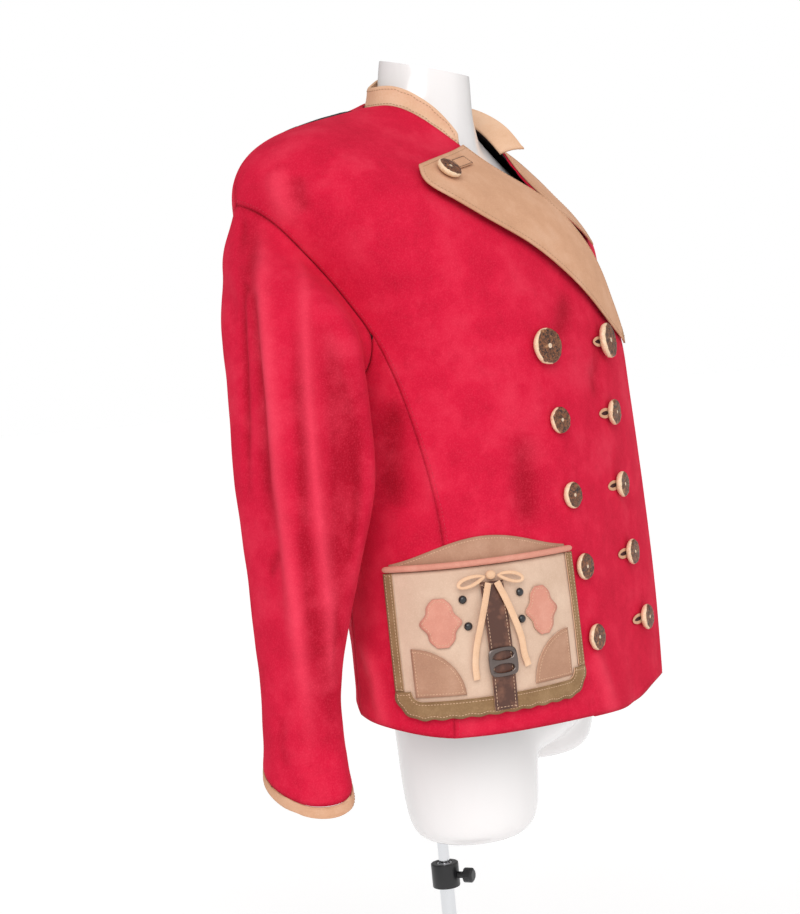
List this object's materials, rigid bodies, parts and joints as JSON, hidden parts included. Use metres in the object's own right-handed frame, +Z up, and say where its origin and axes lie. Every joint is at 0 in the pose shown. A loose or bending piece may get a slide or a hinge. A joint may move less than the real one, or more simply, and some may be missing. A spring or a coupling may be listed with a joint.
{
  "type": "trachten blazer on dress form",
  "caption": "Double-breasted suede jacket with turned-out lapels, stand collar, antler buttons and an appliqué hip pocket, on a torso form with a pole stand.",
  "frame": {"origin": "centre of the stand's base, on its underside, where the pole's axis meets the floor", "axes": "+Z up along the pole; the wearer faces -Y; +X is the wearer's left"},
  "size_m": [0.6536, 0.4175, 1.366],
  "materials": {
    "red_suede": "napped suede",
    "tan_suede": "napped suede",
    "collar_suede": "napped suede",
    "beige_suede": "napped suede",
    "taupe_suede": "napped suede",
    "olive_suede": "napped suede",
    "rose_suede": "napped suede",
    "strap_leather": "smooth dark leather",
    "lace_suede": "soft suede lace",
    "antler": "antler slice with dark rim and pale core",
    "dark_steel": "burnished dark",
    "black_steel": "black lacquer",
    "chrome": "polished",
    "white_form": "white gloss shell"
  },
  "bodies": {
    "root": {"front_right": "red_suede", "front_left": "red_suede", "side_right": "red_suede", "side_left": "red_suede", "back": "red_suede", "sleeve_right": "red_suede", "cuff_binding_right": "tan_suede", "sleeve_left": "red_suede", "cuff_binding_left": "tan_suede", "collar": "collar_suede", "lapel_right": "tan_suede", "lapel_left": "tan_suede", "form_torso": "white_form", "buttonhole_1": "tan_suede", "button_right_1": "antler", "button_left_1": "antler", "buttonhole_2": "tan_suede", "button_right_2": "antler", "button_left_2": "antler", "buttonhole_3": "tan_suede", "button_right_3": "antler", "button_left_3": "antler", "buttonhole_4": "tan_suede", "button_right_4": "antler", "button_left_4": "antler", "buttonhole_5": "tan_suede", "button_right_5": "antler", "button_left_5": "antler", "button_lapel": "antler", "buttonhole_lapel": "tan_suede", "pocket_back_layer": "taupe_suede", "pocket_body": "beige_suede", "pocket_bottom_band": "olive_suede", "pocket_binding_rear": "olive_suede", "pocket_corner_rear": "taupe_suede", "pocket_leaf_rear": "rose_suede", "pocket_binding_front": "olive_suede", "pocket_corner_front": "taupe_suede", "pocket_leaf_front": "rose_suede", "pocket_mouth_roll": "rose_suede", "pocket_strap": "strap_leather", "pocket_buckle": "dark_steel", "pocket_lace_hook_1": "black_steel", "pocket_lace_hook_2": "black_steel", "pocket_lace_hook_3": "black_steel", "pocket_lace_hook_4": "black_steel", "pocket_lace_knot": "lace_suede", "pocket_lace_end_rear": "lace_suede", "pocket_lace_loop_rear": "lace_suede", "pocket_lace_end_front": "lace_suede", "pocket_lace_loop_front": "lace_suede", "stand_base": "chrome", "stand_outer_tube": "chrome", "stand_inner_tube": "chrome", "stand_clamp_ring": "black_steel", "stand_clamp_knob": "black_steel"}
  },
  "joints": []
}
